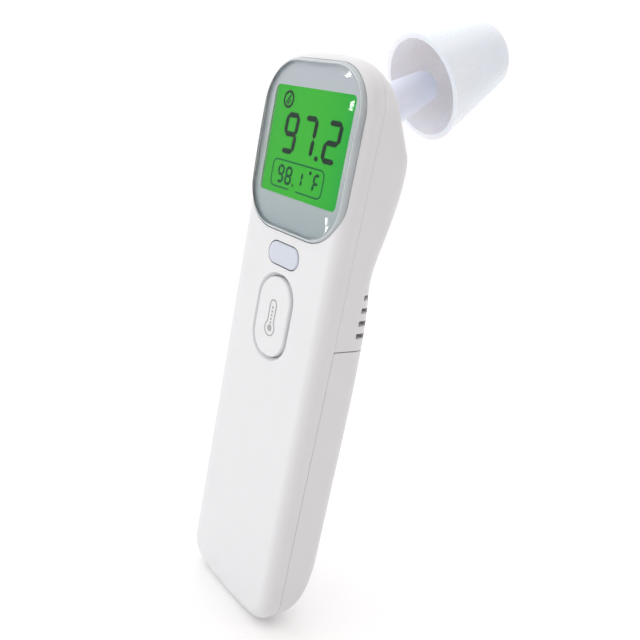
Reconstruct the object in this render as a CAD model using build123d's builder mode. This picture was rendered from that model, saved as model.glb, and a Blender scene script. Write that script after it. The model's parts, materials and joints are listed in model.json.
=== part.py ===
"""Hand-held digital thermometer for ear and forehead, modelled as separate pieces.

Places are given from the foot of the front face: X from the middle, depth behind the front face
and height above the foot. The part's own origin is the middle of the hand grip.
"""
from build123d import *
from math import cos, radians, sin
import os

os.makedirs("parts", exist_ok=True)

# Case, mm
WIDTH = 40.0
LENGTH = 149.4
GRIP_DEPTH = 8.7
GRIP_HEIGHT = 48.0
PART_DEPTH = 5.0  # seam between the front half and the back half
SEAM_HEIGHT = 81.3  # top edge of the battery cover
BACK_DEPTH = 17.4  # flat back of the handle
WALL = 1.8
COVER_WALL = 1.6
FRONT_R = 3.6
BACK_R = 4.8
REAR_FROM = 3.7  # edges deeper than this take the back radius
FLAT_TOP = 57.0  # where the flat back starts and ends
FLAT_FOOT = 20.0

# Display
WIN_W = 37.4
WIN_H = 41.7
WIN_R = 11.0
WIN_HEIGHT = 126.55
WIN_SEAT = 1.12
WIN_BACK = 0.8
DOME_R = 300.0
DOME_RISE = 1.4
SHOULDER_R = 1.2
LCD_W = 30.6
LCD_H = 26.2
LCD_HEIGHT = 127.6
LCD_R = 1.4
PANEL_X = 16.0
PANEL_TOP = 142.4
BEZEL_DEPTH = 0.84
BEZEL_T = 0.25

# Buttons
SMALL_W = 12.4
SMALL_H = 5.6
SMALL_R = 2.79
SMALL_HEIGHT = 100.3
SMALL_RISE = 0.25
BIG_W = 13.0
BIG_H = 21.0
BIG_R = 6.2
BIG_HEIGHT = 84.0
BIG_RISE = 0.25
BIG_EDGE_R = 0.5
SMALL_EDGE_R = 0.45
KEY_GAP = 0.3
FLANGE_DEPTH = 1.92
FLANGE_T = 0.7
STEM_R = 1.3
STEM_END = 3.2

# Probe, along an axis that rises from the back of the head
TILT = 31.0
PROBE_DEPTH = 15.0
PROBE_HEIGHT = 135.0
PROBE_LEN = 26.0
PROBE_R0 = 6.5
PROBE_R1 = 4.1
BORE_R = 3.3
EYE_R = 2.6

# Forehead cap
CAP_AT = 23.5  # how far the cap stands off the head
CAP_LEN = 26.5
CAP_RIM = (12.6, 14.4)
CAP_END = (8.7, 9.1)
CAP_WALL = 1.4
CAP_HOLE_R = 4.8

# Power
CELL_R = 5.25
CELL_LEN = 44.5
CELL_X = 5.6
CELL_DEPTH = 8.6
BAY_FOOT = 14.5
BAY_TOP = 67.5

# Electronics and fixings
BOARD_DEPTH = 6.0
BOARD_T = 1.2
BOARD_BACK = BOARD_DEPTH + BOARD_T
SPEAKER_HEIGHT = 92.5
SLOT_HEIGHTS = (85.4, 88.7, 92.0, 95.3)
SLOT_HALF = 0.7
BOSSES = ((14.0, 75.2, 9.5), (-14.0, 75.2, 9.5), (12.0, 9.2, 8.0), (-12.0, 9.2, 8.0))

FOOT = Vector(0, -GRIP_DEPTH, -GRIP_HEIGHT)
FRONT = Plane(origin=FOOT, x_dir=(1, 0, 0), z_dir=(0, -1, 0))
SIDE = Plane(origin=FOOT - Vector(30, 0, 0), x_dir=(0, 1, 0), z_dir=(1, 0, 0))
PROBE_BASE = FOOT + Vector(0, PROBE_DEPTH, PROBE_HEIGHT)
PROBE_DIR = Vector(0, cos(radians(TILT)), sin(radians(TILT)))
PROBE_AXIS = Axis(PROBE_BASE, PROBE_DIR)
PROBE_SIDE = Plane(origin=PROBE_BASE, x_dir=PROBE_DIR, z_dir=(1, 0, 0))
ALL_X = (-30, 30)
ALL_HEIGHTS = (-2, 160)


def front_plane(depth):
    """Plane parallel to the front face, this far behind it."""
    return FRONT.offset(-depth)


def level(height):
    """Level plane at this height; its second axis is depth."""
    return Plane(origin=FOOT + Vector(0, 0, height))


def across(distance):
    """Plane square to the probe axis, this far out from the head."""
    return Plane(origin=PROBE_BASE + PROBE_DIR * distance, x_dir=(1, 0, 0), z_dir=PROBE_DIR)


def slab(x, depth, height, mode=Mode.ADD):
    """Box between pairs of limits."""
    with BuildSketch(front_plane(depth[0])) as face:
        with Locations((sum(x) / 2, sum(height) / 2)):
            Rectangle(x[1] - x[0], height[1] - height[0])
    extrude(face.sketch, amount=depth[0] - depth[1], mode=mode)


def slab_pair(x, depth, height, mode=Mode.ADD):
    """The same box on the right and on the left."""
    slab(x, depth, height, mode)
    slab((-x[1], -x[0]), depth, height, mode)


def peg(x, height, radius, depth, mode=Mode.ADD):
    """Round bar running from the front towards the back, between two depths."""
    with BuildSketch(front_plane(depth[0])) as face:
        with Locations((x, height)):
            Circle(radius)
    extrude(face.sketch, amount=depth[0] - depth[1], mode=mode)


def probe_rod(radius, near, far, mode=Mode.ADD):
    """Round bar on the probe axis, between two distances from the head."""
    with BuildSketch(across(near)) as face:
        Circle(radius)
    extrude(face.sketch, amount=far - near, mode=mode)


def body_form(inset):
    """The closed outside form of the body, drawn in by an even margin."""
    half = WIDTH / 2
    flat = Vector(PROBE_DEPTH, PROBE_HEIGHT) - Vector(PROBE_DIR.Y, PROBE_DIR.Z) * inset
    slope = Vector(-PROBE_DIR.Z, PROBE_DIR.Y)
    roof = flat + slope * 19.0
    eave = flat - slope * 4.7
    back = BACK_DEPTH - inset
    low = 0.6 * inset
    with BuildPart() as form:
        with BuildSketch(FRONT):
            with BuildLine():
                Line((half, 2.0), (half, 146.6))
                ThreePointArc((half, 146.6), (0, LENGTH), (-half, 146.6))
                Line((-half, 146.6), (-half, 2.0))
                ThreePointArc((-half, 2.0), (0, 0), (half, 2.0))
            make_face()
            fillet(vertices().sort_by(Axis.Y)[-2:], 11.5)
            fillet(vertices().sort_by(Axis.Y)[:2], 7.5)
            if inset:
                offset(amount=-inset, mode=Mode.REPLACE)
        extrude(amount=-24)
        with BuildSketch(SIDE):
            with BuildLine():
                Polyline((4.0, -0.6), (inset, -0.6), (inset, roof.Y), (roof.X, roof.Y), (eave.X, eave.Y))
                Spline((eave.X, eave.Y), (18.6 - inset, 125.5), (15.5 - inset, 105.0), (back, FLAT_TOP),
                       tangents=((0.515, -0.857), (0, -1)))
                Line((back, FLAT_TOP), (back, FLAT_FOOT))
                Spline((back, FLAT_FOOT), (16.7 - inset, 12.0), (14.4 - inset, 6.0 + low),
                       (10.2 - 0.8 * inset, 2.2 + low), (4.0, -0.6), tangents=((0, -1), (-0.93, -0.37)))
            make_face()
        extrude(amount=60, mode=Mode.INTERSECT)
        at_front = edges().filter_by(lambda e: e.bounding_box().max.Y < FOOT.Y + inset + 0.01)
        fillet(at_front, FRONT_R - 1.1 * inset)
        rear = edges().filter_by(lambda e: e.bounding_box().min.Y > FOOT.Y + REAR_FROM)
        fillet(rear.filter_by(lambda e: e.geom_type != GeomType.LINE or e.bounding_box().size.X < 1),
               BACK_R - 0.8 * inset)
    return form.part


outer = body_form(0)
hollow = body_form(WALL)
cover_hollow = body_form(COVER_WALL)
tray_form = body_form(WALL + 0.35)

# Front half of the case
with BuildPart() as front_shell:
    add(outer)
    add(hollow, mode=Mode.SUBTRACT)
    slab(ALL_X, (-1, PART_DEPTH), ALL_HEIGHTS, Mode.INTERSECT)
    with BuildSketch(front_plane(-1)):
        with Locations((0, WIN_HEIGHT)):
            RectangleRounded(WIN_W + 0.2, WIN_H + 0.2, WIN_R + 0.1)
    extrude(amount=-1 - WIN_SEAT, mode=Mode.SUBTRACT)
    with BuildSketch(front_plane(-1)):
        with Locations((0, LCD_HEIGHT)):
            RectangleRounded(LCD_W + 0.8, LCD_H + 0.8, 1.5)
        with Locations((0, SMALL_HEIGHT)):
            RectangleRounded(SMALL_W + 2 * KEY_GAP, SMALL_H + 2 * KEY_GAP, SMALL_R + KEY_GAP)
        with Locations((0, BIG_HEIGHT)):
            RectangleRounded(BIG_W + 2 * KEY_GAP, BIG_H + 2 * KEY_GAP, BIG_R + 0.2)
    extrude(amount=-4, mode=Mode.SUBTRACT)
    face_edges = edges().filter_by_position(Axis.Y, FOOT.Y - 0.01, FOOT.Y + 0.01)
    hole_edges = face_edges.filter_by_position(Axis.X, -7.5, 7.5)
    big_top = FOOT.Z + BIG_HEIGHT + BIG_H / 2 + 1
    chamfer(hole_edges.filter_by_position(Axis.Z, big_top - BIG_H - 2, big_top), 0.8, 1.3)
    for x, height, top in BOSSES:
        peg(x, height, 2.5, (1.5, top))
        peg(x, height, 1.0, (2.4, top + 1), Mode.SUBTRACT)

# Battery tray: the bay for the two cells, its rails and the lower screw seats
with BuildPart() as tray:
    slab((-17.9, 17.9), (1.95, 3.2), (3.0, 68.7))
    slab_pair((11.3, 12.5), (3.1, 12.0), (BAY_FOOT - 0.1, BAY_TOP + 0.1))
    slab((-17.9, 17.9), (1.95, 12.0), (BAY_TOP, BAY_TOP + 1.2))
    slab((-12.5, 12.5), (1.95, 12.0), (BAY_FOOT - 1.2, BAY_FOOT))
    slab_pair((15.0, 16.1), (3.1, 8.0), (26, 62))
    slab_pair((16.0, 17.9), (6.7, 8.0), (26, 62))
    slab((-17.9, 17.9), (9.6, 10.8), (BAY_TOP, 83.4))
    slab_pair((16.7, 17.9), (PART_DEPTH - 1.6, 10.8), (BAY_TOP, 83.4))
    add(tray_form, mode=Mode.INTERSECT)
    for x, height, top in BOSSES[2:]:
        peg(x, height, 3.9, (1.95, 9.4))
        peg(x, height, 2.8, (0, 8.05), Mode.SUBTRACT)

# Wall between the battery bay and the electronics
with BuildPart() as partition:
    slab((-18.6, 18.6), (9.6, 30), (82.0, 83.4))
    add(outer, mode=Mode.INTERSECT)

# Rear half of the case
with BuildPart() as rear_shell:
    add(outer)
    add(hollow, mode=Mode.SUBTRACT)
    slab(ALL_X, (PART_DEPTH + 0.06, 40), (SEAM_HEIGHT + 0.3, 160), Mode.INTERSECT)
    add(partition.part)
    add(tray.part)
    for x, height, top in BOSSES:
        peg(x, height, 1.15, (0, 14), Mode.SUBTRACT)
    slab_pair((12.9, 16.1), (12.2, 13.98), (81, 84), Mode.SUBTRACT)
    peg(0, SPEAKER_HEIGHT, 9.4, (11.5, 14.6))
    peg(0, SPEAKER_HEIGHT, 8.2, (11.0, 13.75), Mode.SUBTRACT)
    for height in SLOT_HEIGHTS:
        slab((-12.5, 12.5), (12.9, 20), (height - SLOT_HALF, height + SLOT_HALF), Mode.SUBTRACT)
        slab_pair((16.2, 21), (11.2, 14.6), (height - SLOT_HALF, height + SLOT_HALF), Mode.SUBTRACT)
    probe_rod(PROBE_R0 + 0.1, -8, 4, Mode.SUBTRACT)
    probe_rod(8.4, -5, -1.83, Mode.SUBTRACT)

# Battery cover: the whole lower back, on rails, slides off towards the foot
with BuildPart() as cover_fittings:
    slab_pair((16.4, 18.9), (PART_DEPTH + 0.12, 6.3), (26, 62))
    slab_pair((13.3, 15.7), (12.6, 15.2), (78.0, 80.6))
    add(outer, mode=Mode.INTERSECT)
with BuildPart() as battery_cover:
    add(outer)
    add(cover_hollow, mode=Mode.SUBTRACT)
    slab(ALL_X, (PART_DEPTH + 0.12, 40), (-2, SEAM_HEIGHT), Mode.INTERSECT)
    add(cover_fittings.part)
    slab_pair((13.3, 15.7), (12.6, 13.6), (78.0, 84.6))

# Display
with BuildPart() as display_window:
    with BuildSketch(front_plane(-2)):
        with Locations((0, WIN_HEIGHT)):
            RectangleRounded(WIN_W, WIN_H, WIN_R)
    extrude(amount=-2 - WIN_BACK)
    with Locations(FOOT + Vector(0, DOME_R - DOME_RISE, WIN_HEIGHT)):
        Sphere(DOME_R, mode=Mode.INTERSECT)
    fillet(faces().sort_by(Axis.Y)[0].edges(), SHOULDER_R)
with BuildPart() as display_bezel:
    with BuildSketch(front_plane(BEZEL_DEPTH)):
        with Locations((0, WIN_HEIGHT)):
            RectangleRounded(WIN_W - 0.2, WIN_H - 0.2, WIN_R - 0.1)
        with Locations((0, LCD_HEIGHT)):
            RectangleRounded(LCD_W, LCD_H, LCD_R, mode=Mode.SUBTRACT)
    extrude(amount=-BEZEL_T)
with BuildPart() as lcd_panel:
    slab((-PANEL_X, PANEL_X), (1.95, 3.1), (109.8, PANEL_TOP))
with BuildPart() as backlight:
    slab((-PANEL_X, PANEL_X), (3.15, 5.6), (112.6, PANEL_TOP))
with BuildPart() as lcd_connector:
    slab((-14.5, 14.5), (3.15, BOARD_DEPTH - 0.02), (110.0, 112.3))

# Buttons
with BuildPart() as small_button:
    with BuildSketch(front_plane(-SMALL_RISE)):
        with Locations((0, SMALL_HEIGHT)):
            RectangleRounded(SMALL_W, SMALL_H, SMALL_R)
    extrude(amount=-SMALL_RISE - 2)
    fillet(faces().sort_by(Axis.Y)[0].edges(), SMALL_EDGE_R)
    with BuildSketch(front_plane(FLANGE_DEPTH)):
        with Locations((0, SMALL_HEIGHT)):
            RectangleRounded(SMALL_W + 2.2, SMALL_H + 2.2, SMALL_R + 1.1)
    extrude(amount=-FLANGE_T)
    peg(0, SMALL_HEIGHT, STEM_R, (2.5, STEM_END))
with BuildPart() as large_button:
    with BuildSketch(front_plane(-BIG_RISE)):
        with Locations((0, BIG_HEIGHT)):
            RectangleRounded(BIG_W, BIG_H, BIG_R)
    extrude(amount=-BIG_RISE - 2)
    fillet(faces().sort_by(Axis.Y)[0].edges(), BIG_EDGE_R)
    with BuildSketch(front_plane(FLANGE_DEPTH)):
        with Locations((0, BIG_HEIGHT)):
            RectangleRounded(BIG_W + 2.2, BIG_H + 1.8, BIG_R + 1)
    extrude(amount=-FLANGE_T)
    peg(0, BIG_HEIGHT, STEM_R, (2.5, STEM_END))

# Electronics
with BuildPart() as main_board:
    slab((-10.8, 10.8), (BOARD_DEPTH, BOARD_BACK), (70.5, 100))
    slab((-15.8, 15.8), (BOARD_DEPTH, BOARD_BACK), (98, 140.4))
with BuildPart() as key_switches:
    for height in (SMALL_HEIGHT, BIG_HEIGHT):
        slab((-2.6, 2.6), (4.5, BOARD_DEPTH - 0.01), (height - 2.6, height + 2.6))
        peg(0, height, 1.4, (3.95, 4.6))
with BuildPart() as processor:
    slab((-5, 5), (BOARD_BACK + 0.02, 8.4), (107, 117))
with BuildPart() as small_components:
    for x, height in ((-8.5, 106), (-8.5, 109), (8.5, 107), (8.5, 112), (-7, 120), (6, 121)):
        slab((x - 1, x + 1), (BOARD_BACK + 0.02, 7.9), (height - 0.6, height + 0.6))
with BuildPart() as speaker:
    peg(0, SPEAKER_HEIGHT, 8.0, (10.6, 13.5))
    fillet(edges().filter_by(GeomType.CIRCLE), 0.4)

# Probe
with BuildPart() as ear_probe:
    with BuildSketch(PROBE_SIDE):
        with BuildLine():
            Polyline((-3.2, BORE_R), (-3.2, 8.2), (-2.2, 8.2), (-2.2, PROBE_R0), (0.3, PROBE_R0),
                     (PROBE_LEN, PROBE_R1), (PROBE_LEN, EYE_R), (PROBE_LEN - 1.0, EYE_R),
                     (PROBE_LEN - 1.0, BORE_R), (-3.2, BORE_R))
        make_face()
    revolve(axis=PROBE_AXIS)
    outward = edges().filter_by(GeomType.CIRCLE).sort_by(lambda e: (e.center() - PROBE_BASE).dot(PROBE_DIR))
    fillet(outward[-2:].sort_by(lambda e: e.length)[-1:], 1.2)
with BuildPart() as probe_window:
    probe_rod(BORE_R - 0.1, PROBE_LEN - 1.65, PROBE_LEN - 1.05)
with BuildPart() as infrared_guide:
    probe_rod(BORE_R - 0.1, 6.0, 24.0)
    probe_rod(2.5, 5.0, 25.0, Mode.SUBTRACT)
with BuildPart() as thermopile:
    probe_rod(2.8, 2.2, 5.8)
    probe_rod(BORE_R - 0.1, 1.85, 2.35)
with BuildPart() as sensor_holder:
    probe_rod(BORE_R - 0.1, -3.2, 1.7)
    with BuildSketch(across(-4)):
        with PolarLocations(1.6, 3):
            Circle(0.4)
    extrude(amount=6, mode=Mode.SUBTRACT)
with BuildPart() as sensor_leads:
    with BuildSketch(across(-7)):
        with PolarLocations(1.6, 3):
            Circle(0.25)
    extrude(amount=8.8)
with BuildPart() as probe_gasket:
    probe_rod(8.0, -2.15, -1.85)
    probe_rod(6.8, -3, -1, Mode.SUBTRACT)

# Cap that sits over the probe for forehead readings
with BuildPart() as forehead_cap:
    with BuildSketch(across(CAP_AT)):
        Ellipse(*CAP_RIM)
    with BuildSketch(across(CAP_AT + CAP_LEN)):
        Ellipse(*CAP_END)
    loft()
    far = faces().sort_by(lambda f: (f.center() - PROBE_BASE).dot(PROBE_DIR))[-1]
    fillet(far.edges(), 2.2)
    with BuildSketch(across(CAP_AT - 0.01)):
        Ellipse(CAP_RIM[0] - CAP_WALL, CAP_RIM[1] - CAP_WALL)
    with BuildSketch(across(CAP_AT + CAP_LEN - 1.6)):
        Ellipse(CAP_END[0] - CAP_WALL + 0.2, CAP_END[1] - CAP_WALL + 0.2)
    loft(mode=Mode.SUBTRACT)
    probe_rod(CAP_HOLE_R, CAP_AT + CAP_LEN - 4, CAP_AT + CAP_LEN + 4, Mode.SUBTRACT)


# Power
def upright_rod(x, radius, height):
    """Round bar standing in the battery bay, between two heights."""
    with BuildSketch(level(height[0])) as face:
        with Locations((x, CELL_DEPTH)):
            Circle(radius)
    extrude(face.sketch, amount=height[1] - height[0])


def coil(x, height):
    """Contact spring between two heights."""
    rise = height[1] - height[0]
    with BuildPart() as wire:
        with BuildLine() as path:
            Helix(pitch=rise / 3.5, height=rise, radius=2.6, center=FOOT + Vector(x, CELL_DEPTH, height[0]))
        with BuildSketch(Plane(origin=path.line @ 0, z_dir=path.line % 0)):
            Circle(0.3)
        sweep()
    return wire.part


foot_left = BAY_TOP - 0.65 - CELL_LEN
foot_right = BAY_FOOT + 0.65
top_right = foot_right + CELL_LEN
with BuildPart() as battery_left:
    upright_rod(-CELL_X, CELL_R, (foot_left, foot_left + CELL_LEN - 0.8))
    upright_rod(-CELL_X, 1.9, (foot_left + CELL_LEN - 0.9, foot_left + CELL_LEN))
with BuildPart() as battery_right:
    upright_rod(CELL_X, CELL_R, (foot_right + 0.8, top_right))
    upright_rod(CELL_X, 1.9, (foot_right, foot_right + 0.9))
coil_left = coil(-CELL_X, (BAY_FOOT + 0.95, foot_left - 0.4))
coil_right = coil(CELL_X, (top_right + 0.4, BAY_TOP - 0.95))
with BuildPart() as battery_springs:
    add(coil_left)
    add(coil_right)
with BuildPart() as battery_contacts:
    for height in (BAY_FOOT + 0.1, BAY_TOP - 0.5):
        slab_pair((CELL_X - 4, CELL_X + 4), (4.6, 12.0), (height, height + 0.4))

# Case screws, with a cross recess
with BuildPart() as case_screws:
    for x, height, top in BOSSES:
        head = top + 1.4
        peg(x, height, 0.95, (2.6, head + 0.1))
        peg(x, height, 1.9, (head, head + 1.2))
        slab((x - 1.2, x + 1.2), (head + 0.7, head + 2), (height - 0.25, height + 0.25), Mode.SUBTRACT)
        slab((x - 0.25, x + 0.25), (head + 0.7, head + 2), (height - 1.2, height + 1.2), Mode.SUBTRACT)

pieces = {
    "front_shell": front_shell, "rear_shell": rear_shell, "battery_cover": battery_cover,
    "display_window": display_window, "display_bezel": display_bezel, "lcd_panel": lcd_panel,
    "backlight": backlight, "lcd_connector": lcd_connector, "small_button": small_button,
    "large_button": large_button, "main_board": main_board, "key_switches": key_switches,
    "processor": processor, "small_components": small_components, "speaker": speaker,
    "ear_probe": ear_probe, "probe_window": probe_window, "infrared_guide": infrared_guide,
    "thermopile": thermopile, "sensor_holder": sensor_holder, "sensor_leads": sensor_leads,
    "probe_gasket": probe_gasket, "forehead_cap": forehead_cap, "battery_left": battery_left,
    "battery_right": battery_right, "battery_springs": battery_springs,
    "battery_contacts": battery_contacts, "case_screws": case_screws,
}
for name, piece in pieces.items():
    piece.part.label = name
    export_step(piece.part, f"parts/{name}.step")
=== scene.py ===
"""Looks of a hand-held digital thermometer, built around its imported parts.

Metres in the row frame: X across, Y from the display face towards the back, Z up the handle.
"""
import json
import math

import bmesh
import bpy
from mathutils import Matrix, Vector


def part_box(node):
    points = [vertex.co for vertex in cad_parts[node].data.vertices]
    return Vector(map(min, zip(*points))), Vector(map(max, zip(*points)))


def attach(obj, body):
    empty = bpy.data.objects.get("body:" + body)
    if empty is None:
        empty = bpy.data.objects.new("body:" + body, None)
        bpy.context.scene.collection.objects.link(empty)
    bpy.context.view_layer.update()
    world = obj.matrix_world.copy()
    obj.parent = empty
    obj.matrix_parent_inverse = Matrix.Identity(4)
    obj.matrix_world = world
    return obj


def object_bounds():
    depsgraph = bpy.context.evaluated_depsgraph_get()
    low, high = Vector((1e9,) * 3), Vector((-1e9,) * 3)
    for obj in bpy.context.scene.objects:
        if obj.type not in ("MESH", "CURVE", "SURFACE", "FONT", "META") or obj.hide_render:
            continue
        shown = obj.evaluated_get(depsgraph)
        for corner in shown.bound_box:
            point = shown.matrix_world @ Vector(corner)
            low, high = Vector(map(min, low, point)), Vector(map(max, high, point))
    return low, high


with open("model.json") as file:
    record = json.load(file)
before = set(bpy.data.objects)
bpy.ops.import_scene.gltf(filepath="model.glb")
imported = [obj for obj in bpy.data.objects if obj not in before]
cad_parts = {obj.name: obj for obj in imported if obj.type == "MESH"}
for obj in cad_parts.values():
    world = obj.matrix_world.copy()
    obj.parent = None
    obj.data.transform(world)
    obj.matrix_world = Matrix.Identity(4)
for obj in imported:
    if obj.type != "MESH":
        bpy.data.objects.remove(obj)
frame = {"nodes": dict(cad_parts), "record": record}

CAD_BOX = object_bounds()
NODES = frame["nodes"]
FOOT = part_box("front_shell")[0].z
MM = 0.001
DOME_R = 300.0  # of the window face, mm
SOFT_IOR = 1.2  # of the window in front, low so that the surround does not veil the display
RIM_IOR = 1.5
INK_LAYER = 0.05 * MM
ROUND = 20  # sides of a drawn dot


# ---------------------------------------------------------------- materials

def shader_of(name):
    """A new material's node tree and its Principled shader."""
    material = bpy.data.materials.new(name)
    material.use_nodes = True
    return material, material.node_tree, material.node_tree.nodes["Principled BSDF"]


def add_axis(tree, output, axis):
    """One axis of a texture coordinate."""
    place = tree.nodes.new("ShaderNodeTexCoord")
    split = tree.nodes.new("ShaderNodeSeparateXYZ")
    tree.links.new(place.outputs[output], split.inputs["Vector"])
    return split.outputs[axis]


def add_noise(tree, size_mm, detail=2.0, stretch=(1, 1, 1)):
    """Noise in the piece's own coordinates, with features of about this size."""
    place = tree.nodes.new("ShaderNodeTexCoord")
    scale = tree.nodes.new("ShaderNodeMapping")
    scale.inputs["Scale"].default_value = stretch
    noise = tree.nodes.new("ShaderNodeTexNoise")
    noise.inputs["Scale"].default_value = 1 / (size_mm * MM)
    noise.inputs["Detail"].default_value = detail
    tree.links.new(place.outputs["Object"], scale.inputs["Vector"])
    tree.links.new(scale.outputs["Vector"], noise.inputs["Vector"])
    return noise.outputs["Fac"]


def add_ramp(tree, factor, stops):
    """Colours at places along a factor."""
    ramp = tree.nodes.new("ShaderNodeValToRGB")
    while len(ramp.color_ramp.elements) < len(stops):
        ramp.color_ramp.elements.new(0.5)
    for element, (place, colour) in zip(ramp.color_ramp.elements, stops):
        element.position = place
        element.color = (*colour, 1)
    tree.links.new(factor, ramp.inputs["Fac"])
    return ramp.outputs["Color"]


def add_range(tree, factor, low, high, start=0.3, end=0.7):
    """A factor from start to end, stretched to low to high."""
    span = tree.nodes.new("ShaderNodeMapRange")
    for socket, value in (("From Min", start), ("From Max", end), ("To Min", low), ("To Max", high)):
        span.inputs[socket].default_value = value
    tree.links.new(factor, span.inputs["Value"])
    return span.outputs["Result"]


def add_bump(tree, shader, height, depth_mm):
    """Fine relief of this depth."""
    bump = tree.nodes.new("ShaderNodeBump")
    bump.inputs["Strength"].default_value = 1.0
    bump.inputs["Distance"].default_value = depth_mm * MM
    tree.links.new(height, bump.inputs["Height"])
    tree.links.new(bump.outputs["Normal"], shader.inputs["Normal"])


def shaded(colour, share):
    """The colour, darker or lighter by a share."""
    return tuple(min(1.0, channel * share) for channel in colour)


def surface(name, colour, rough, vary=0.03, patch_mm=9.0, grain_mm=0.35, depth_mm=0.004,
            stretch=(1, 1, 1), **fixed):
    """Moulded, painted or drawn surface: faint tone patches, uneven polish and a fine grain."""
    material, tree, shader = shader_of(name)
    patches = add_noise(tree, patch_mm)
    grain = add_noise(tree, grain_mm, 3.0, stretch)
    tone = add_ramp(tree, patches, ((0.3, shaded(colour, 1 - vary)), (0.7, shaded(colour, 1 + vary))))
    tree.links.new(tone, shader.inputs["Base Color"])
    tree.links.new(add_range(tree, grain, rough * 0.85, rough * 1.15), shader.inputs["Roughness"])
    add_bump(tree, shader, grain, depth_mm)
    for socket, value in fixed.items():
        shader.inputs[socket.replace("_", " ")].default_value = value
    return material


def clear_plastic():
    """Clear moulding, polished in front and paler where its rounded rim and sides turn away. The paler rim
    and its darker band are painted light, standing in for the light seen through and off the thick clear
    edge.
    """
    material, tree, shader = shader_of("window_clear")
    haze = add_noise(tree, 6.0)
    unsigned = tree.nodes.new("ShaderNodeMath")
    unsigned.operation = "ABSOLUTE"
    tree.links.new(add_axis(tree, "Normal", "Y"), unsigned.inputs[0])
    rim = add_range(tree, unsigned.outputs["Value"], 0.0, 1.0, 0.985, 0.80)
    # painted light: pale grey with a darker band on the turned-away rim, in place of light through and off
    # the thick edge
    painted_rim_light = add_ramp(tree, rim, ((0.0, (0.97, 0.985, 0.99)), (0.25, (0.40, 0.45, 0.47)),
                                (0.6, (0.66, 0.71, 0.735)), (1.0, (0.50, 0.545, 0.565))))
    tree.links.new(painted_rim_light, shader.inputs["Base Color"])
    tree.links.new(add_range(tree, haze, 0.02, 0.035), shader.inputs["Roughness"])
    tree.links.new(add_range(tree, rim, 1.0, 0.12, 0.0, 0.35), shader.inputs["Transmission Weight"])
    tree.links.new(add_range(tree, rim, 0.3, 0.8, 0.0, 0.5), shader.inputs["Specular IOR Level"])
    tree.links.new(add_range(tree, rim, SOFT_IOR, RIM_IOR, 0.0, 0.5), shader.inputs["IOR"])
    return material


def silver_frame():
    """Satin silver print with painted shade, deeper towards its foot."""
    low, high = (corner.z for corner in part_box("display_bezel"))
    material, tree, shader = shader_of("bezel_silver")
    painted_shade_rise = add_range(tree, add_axis(tree, "Object", "Z"), 0.0, 1.0, low, high)
    # painted shade: the silver is darker towards its foot and lighter towards its top
    tone = add_ramp(tree, painted_shade_rise, ((0.0, (0.43, 0.515, 0.545)), (0.45, (0.59, 0.63, 0.63)),
                                 (1.0, (0.60, 0.64, 0.69))))
    tree.links.new(tone, shader.inputs["Base Color"])
    grain = add_noise(tree, 0.12, 3.0)
    tree.links.new(add_range(tree, grain, 0.36, 0.48), shader.inputs["Roughness"])
    shader.inputs["Metallic"].default_value = 0.25
    add_bump(tree, shader, grain, 0.004)
    return material


def lit_display():
    """Backlit green glass, brightest near the middle and deeper towards the right edge."""
    material, tree, shader = shader_of("lcd_green")
    side = add_range(tree, add_axis(tree, "Object", "X"), 0.0, 1.0, -15 * MM, 15 * MM)
    glow = add_ramp(tree, side, ((0.0, (0.025, 0.44, 0.020)), (0.55, (0.035, 0.46, 0.022)),
                                 (0.85, (0.020, 0.43, 0.030)), (1.0, (0.005, 0.38, 0.045))))
    tree.links.new(glow, shader.inputs["Emission Color"])
    shader.inputs["Emission Strength"].default_value = 0.9
    cells = add_noise(tree, 0.25, 1.0)
    tree.links.new(add_ramp(tree, cells, ((0.3, (0.012, 0.05, 0.012)), (0.7, (0.016, 0.06, 0.016)))),
                   shader.inputs["Base Color"])
    shader.inputs["Roughness"].default_value = 0.6
    shader.inputs["Specular IOR Level"].default_value = 0.0
    return material


WHITE = (0.755, 0.76, 0.775)
MATERIALS = {
    "case_white": surface("case_white", WHITE, 0.36, vary=0.008, Specular_IOR_Level=0.45),
    "cap_white": surface("cap_white", (0.88, 0.92, 0.98), 0.30, vary=0.012, Subsurface_Weight=0.2),
    "probe_grey": surface("probe_grey", (0.77, 0.81, 0.93), 0.34, vary=0.012),
    "window_clear": clear_plastic(),
    "bezel_silver": silver_frame(),
    "lcd_green": lit_display(),
    "backlight_green": surface("backlight_green", (0.42, 0.80, 0.36), 0.3),
    "rubber_pink": surface("rubber_pink", (0.66, 0.42, 0.42), 0.7, stretch=(0.1, 1, 1)),
    "key_grey": surface("key_grey", (0.60, 0.64, 0.72), 0.30, vary=0.01, depth_mm=0.001),
    "key_white": surface("key_white", WHITE, 0.34, vary=0.008),
    "board_green": surface("board_green", (0.02, 0.16, 0.06), 0.35, vary=0.25, patch_mm=1.6),
    "black_plastic": surface("black_plastic", (0.018, 0.018, 0.02), 0.5, vary=0.2),
    "component_tan": surface("component_tan", (0.46, 0.33, 0.20), 0.45, vary=0.12, patch_mm=0.8),
    "speaker_metal": surface("speaker_metal", (0.50, 0.50, 0.52), 0.35, Metallic=1.0),
    "sensor_glass": surface("sensor_glass", (0.03, 0.035, 0.05), 0.08, depth_mm=0.0005),
    "guide_gold": surface("guide_gold", (0.83, 0.62, 0.27), 0.22, Metallic=1.0, stretch=(1, 1, 0.1)),
    "steel": surface("steel", (0.62, 0.63, 0.65), 0.25, grain_mm=0.15, Metallic=1.0, stretch=(1, 1, 0.1)),
    "seal_black": surface("seal_black", (0.02, 0.02, 0.02), 0.75, vary=0.2, depth_mm=0.01),
    "cell_wrap": surface("cell_wrap", (0.02, 0.045, 0.16), 0.28, vary=0.05, Coat_Weight=0.4),
}
for part in frame["record"]["subparts"]:
    mesh = NODES[part["node"]].data
    mesh.materials.clear()
    mesh.materials.append(MATERIALS[part["material_slot"]])


# ------------------------------------------------------------------- marks

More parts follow.
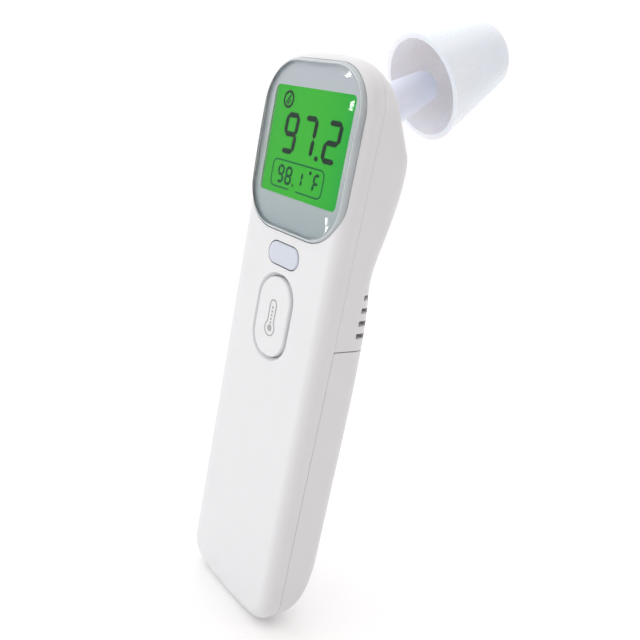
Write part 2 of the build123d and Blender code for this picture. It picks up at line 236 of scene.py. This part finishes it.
INK = {
    "digit_ink": surface("digit_ink", (0.010, 0.034, 0.020), 0.5, vary=0.10, Specular_IOR_Level=0.0),
    "small_ink": surface("small_ink", (0.001, 0.075, 0.030), 0.5, vary=0.10, Specular_IOR_Level=0.0),
    "frame_ink": surface("frame_ink", (0.003, 0.130, 0.048), 0.5, vary=0.10, Specular_IOR_Level=0.0),
    "key_ink": surface("key_ink", (0.37, 0.37, 0.385), 0.5, vary=0.05),
}
SEGMENTS = {"1": "bc", "2": "abged", "7": "abc", "8": "abcdefg", "9": "abcdfg", "F": "aefg"}


def ink(name, outlines, node, body, material):
    """Thin plates on the front of a node; outlines are (x, z) in mm from the foot of the case."""
    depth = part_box(node)[0].y
    form = bmesh.new()
    for outline in outlines:
        outline = [(x * MM, FOOT + z * MM) for x, z in outline]
        near = [form.verts.new((x, depth - INK_LAYER, z)) for x, z in outline]
        far = [form.verts.new((x, depth - INK_LAYER / 5, z)) for x, z in outline]
        form.faces.new(near)
        form.faces.new(far[::-1])
        for i in range(len(outline)):
            j = (i + 1) % len(outline)
            form.faces.new((near[j], near[i], far[i], far[j]))
    bmesh.ops.recalc_face_normals(form, faces=form.faces)
    mesh = bpy.data.meshes.new(name)
    form.to_mesh(mesh)
    form.free()
    piece = bpy.data.objects.new(name, mesh)
    bpy.context.scene.collection.objects.link(piece)
    mesh.materials.append(material)
    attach(piece, body)


def bar(start, end, width):
    """Six-sided stroke with pointed ends between two points."""
    (x0, z0), (x1, z1) = start, end
    length = math.hypot(x1 - x0, z1 - z0)
    ux, uz = (x1 - x0) / length, (z1 - z0) / length
    h = width / 2
    near = (x0 + ux * h, z0 + uz * h)
    far = (x1 - ux * h, z1 - uz * h)
    side = (-uz * h, ux * h)
    return [(x0, z0), (near[0] - side[0], near[1] - side[1]), (far[0] - side[0], far[1] - side[1]),
            (x1, z1), (far[0] + side[0], far[1] + side[1]), (near[0] + side[0], near[1] + side[1])]


def digit(character, left, right, low, high, stroke):
    """Segments of one display character, in mm, leaning a little to the right."""
    lean, gap, waist = 0.05, 0.04, 0.48
    h = stroke / 2
    mid = low + (high - low) * waist
    x0, x1, z0, z1 = left + h, right - h, low + h, high - h
    ends = {"a": ((x0, z1), (x1, z1)), "b": ((x1, z1), (x1, mid)), "c": ((x1, mid), (x1, z0)),
            "d": ((x0, z0), (x1, z0)), "e": ((x0, mid), (x0, z0)), "f": ((x0, z1), (x0, mid)),
            "g": ((x0, mid), (x1, mid))}
    strokes = []
    for letter in SEGMENTS[character]:
        (ax, az), (bx, bz) = ends[letter]
        ax, bx = ax + (bx > ax) * gap, bx - (bx > ax) * gap
        az, bz = az - (bz < az) * gap, bz + (bz < az) * gap
        strokes.append([(x + (z - low) * lean, z) for x, z in bar((ax, az), (bx, bz), stroke)])
    return strokes


def disc(x, z, across, up=None):
    """Round or oval dot with these half sizes."""
    up = up or across
    return [(x + across * math.cos(math.tau * i / ROUND), z + up * math.sin(math.tau * i / ROUND))
            for i in range(ROUND)]


def arc(x, z, radius, start, end, width, steps=12):
    """Curved stroke round a centre, between two angles in degrees, as four-sided pieces."""
    pieces = []
    for i in range(steps):
        a = math.radians(start + (end - start) * i / steps)
        b = math.radians(start + (end - start) * (i + 1) / steps)
        rim, core = radius + width / 2, radius - width / 2
        pieces.append([(x + reach * math.cos(turn), z + reach * math.sin(turn))
                       for reach, turn in ((rim, a), (rim, b), (core, b), (core, a))])
    return pieces


def line(start, end, width):
    """Square-ended stroke between two points."""
    (x0, z0), (x1, z1) = start, end
    length = math.hypot(x1 - x0, z1 - z0)
    sx, sz = (z0 - z1) / length * width / 2, (x1 - x0) / length * width / 2
    return [(x0 - sx, z0 - sz), (x1 - sx, z1 - sz), (x1 + sx, z1 + sz), (x0 + sx, z0 + sz)]


def add_display_marks():
    """A large reading and a small one in a frame, on the display glass."""
    row = (124.5, 134.55, 1.3)  # foot, top and stroke
    big = digit("9", -10.7, -5.1, *row) + digit("7", -3.5, 2.1, *row) + digit("2", 5.4, 11.1, *row)
    big += [disc(3.9, 125.1, 0.7, 0.62)]
    ink("display_reading", big, "lcd_panel", "case", INK["digit_ink"])
    low, high, stroke = row = (117.1, 121.7, 0.7)
    trim = 0.3  # the small 1 is shorter at both ends
    small = digit("9", -10.1, -7.5, *row) + digit("8", -6.9, -4.2, *row)
    small += digit("1", -2.1, 0.2, low + trim, high - trim, stroke) + digit("F", 4.2, 6.6, *row)
    small += [disc(-3.2, 117.4, 0.32), disc(2.9, 121.5, 0.5)]
    ink("display_small_reading", small, "lcd_panel", "case", INK["small_ink"])
    left, right, foot, top, r, width = -12.5, 8.1, 116.1, 122.8, 1.6, 0.38
    gap = (-4.6, -1.6)  # in the lower line
    frame_lines = [line(start, end, width) for start, end in (
        ((left + r, top), (right - r, top)), ((left + r, foot), (gap[0], foot)),
        ((gap[1], foot), (right - r, foot)), ((left, foot + r), (left, top - r)),
        ((right, foot + r), (right, top - r)))]
    for x, z, start in ((right - r, top - r, 0), (left + r, top - r, 90), (left + r, foot + r, 180),
                        (right - r, foot + r, 270)):
        frame_lines += arc(x, z, r, start, start + 90, width, 6)
    ink("display_frame", frame_lines, "lcd_panel", "case", INK["frame_ink"])


def add_round_sign():
    """A plain ring with two slanted strokes at the top left of the display."""
    sign = arc(-10.7, 137.4, 1.85, 0, 360, 0.62, 28)
    sign += [line((-11.6, 136.5), (-10.0, 138.5), 0.5), line((-11.0, 136.2), (-9.8, 137.3), 0.45)]
    ink("display_round_sign", sign, "lcd_panel", "case", INK["digit_ink"])


def add_key_mark():
    """A plain bulb sign on the large key."""
    middle, top, half, bulb, width = 81.0, 88.5, 1.3, 2.0, 0.35
    core, dot, first_dot = 0.9, 0.32, 82.5
    neck = middle + math.sqrt(bulb ** 2 - half ** 2)
    opening = math.degrees(math.acos(half / bulb))
    sign = [line((half, neck), (half, top - half), width), line((-half, neck), (-half, top - half), width)]
    sign += arc(0, top - half, half, 0, 180, width)
    sign += arc(0, middle, bulb, 180 - opening, 360 + opening, width, 28)
    sign += [disc(0, middle, core)] + [disc(0, first_dot + step, dot) for step in (0, 0.95, 1.95, 2.95, 4.0)]
    ink("large_key_sign", sign, "large_button", "large_key", INK["key_ink"])


add_display_marks()
add_round_sign()
add_key_mark()


# --------------------------------------------------- floor, light and camera

def add_floor():
    """A wide pale disc under the foot."""
    rim = 64  # sides
    radius = 8.0  # metres, so that its edge stays out of sight
    form = bmesh.new()
    bmesh.ops.create_circle(form, cap_ends=True, segments=rim, radius=radius)
    mesh = bpy.data.meshes.new("floor")
    form.to_mesh(mesh)
    form.free()
    floor = bpy.data.objects.new("floor", mesh)
    floor.location.z = CAD_BOX[0].z
    bpy.context.scene.collection.objects.link(floor)
    mesh.materials.append(surface("floor_pale", (0.90, 0.90, 0.90), 0.8, vary=0.004, patch_mm=200,
                                  grain_mm=5, Specular_IOR_Level=0.2,
                                  Emission_Color=(1, 1, 1, 1), Emission_Strength=0.09))


def add_world():
    """A soft surround: bright overhead and on the left, dim and faintly warm on the right."""
    dim_side = (0.995, 0.10, 0.0)
    level, overhead = 1.01, 1.58
    world = bpy.data.worlds.new("studio")
    bpy.context.scene.world = world
    world.use_nodes = True
    tree = world.node_tree
    place = tree.nodes.new("ShaderNodeTexCoord")
    aside = tree.nodes.new("ShaderNodeVectorMath")
    aside.operation = "DOT_PRODUCT"
    aside.inputs[1].default_value = dim_side
    tree.links.new(place.outputs["Generated"], aside.inputs[0])
    tone = add_ramp(tree, add_range(tree, aside.outputs["Value"], 0.0, 1.0, -0.35, 0.8),
                    ((0.0, (1.0, 1.0, 1.0)), (1.0, (0.285, 0.243, 0.237))))
    lift = add_range(tree, add_axis(tree, "Generated", "Z"), level, overhead, 0.0, 1.0)
    tree.links.new(tone, tree.nodes["Background"].inputs["Color"])
    tree.links.new(lift, tree.nodes["Background"].inputs["Strength"])


def add_softbox(name, place, target, size, power):
    """A rectangular area light aimed at a point."""
    lamp = bpy.data.lights.new(name, "AREA")
    lamp.shape = "RECTANGLE"
    lamp.size, lamp.size_y = size
    lamp.energy = power
    softbox = bpy.data.objects.new(name, lamp)
    softbox.location = place
    softbox.rotation_euler = (Vector(target) - Vector(place)).to_track_quat("-Z", "Y").to_euler()
    bpy.context.scene.collection.objects.link(softbox)


def add_glint(name, share, size, power):
    """A small bright lamp that the window mirrors at this share of its width and height."""
    away = 0.4  # metres from the window
    near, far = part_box("display_window")
    spot = Vector((near.x + (far.x - near.x) * share[0], near.y, near.z + (far.z - near.z) * share[1]))
    lean = (spot - (near + far) / 2) / (DOME_R * MM)
    facing = Vector((lean.x, -1, lean.z)).normalized()
    eye = (bpy.context.scene.camera.matrix_world.translation - spot).normalized()
    mirrored = 2 * eye.dot(facing) * facing - eye
    add_softbox(name, spot + mirrored * away, spot, size, power)


def add_camera():
    """The view of the object from its front right, a little above, with the head leaning right."""
    stand = (0.13519, -0.11405, 0.08594)
    right = Vector((0.61552, 0.76429, 0.19233))
    down = Vector((0.33141, -0.02959, -0.94302))
    ahead = Vector((-0.71505, 0.64419, -0.27151))
    data = bpy.data.cameras.new("camera")
    data.sensor_width = 36.0
    data.lens = 39.0
    data.clip_start = 0.01
    camera = bpy.data.objects.new("camera", data)
    turn = Matrix((right, -down, -ahead)).transposed().to_4x4()
    camera.matrix_world = Matrix.Translation(stand) @ turn
    bpy.context.scene.collection.objects.link(camera)
    bpy.context.scene.camera = camera


add_floor()
add_world()
MIDDLE = (CAD_BOX[0] + CAD_BOX[1]) / 2
add_softbox("key", (-0.35, -0.55, 0.50), MIDDLE, (0.45, 0.45), 0.5)
add_softbox("top", (0.10, 0.15, 0.75), MIDDLE, (0.6, 0.6), 0.5)
CAP_MIDDLE = sum(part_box("forehead_cap"), Vector()) / 2
add_softbox("cap_fill", (0.22, 0.20, 0.22), CAP_MIDDLE, (0.08, 0.08), 0.07)
add_camera()
add_glint("glint_top", (0.82, 0.93), (0.007, 0.007), 0.010)
add_glint("glint_corner", (0.905, 0.78), (0.005, 0.011), 0.010)
add_glint("glint_foot", (0.885, 0.13), (0.003, 0.022), 0.012)
bpy.context.scene.view_settings.view_transform = "Standard"
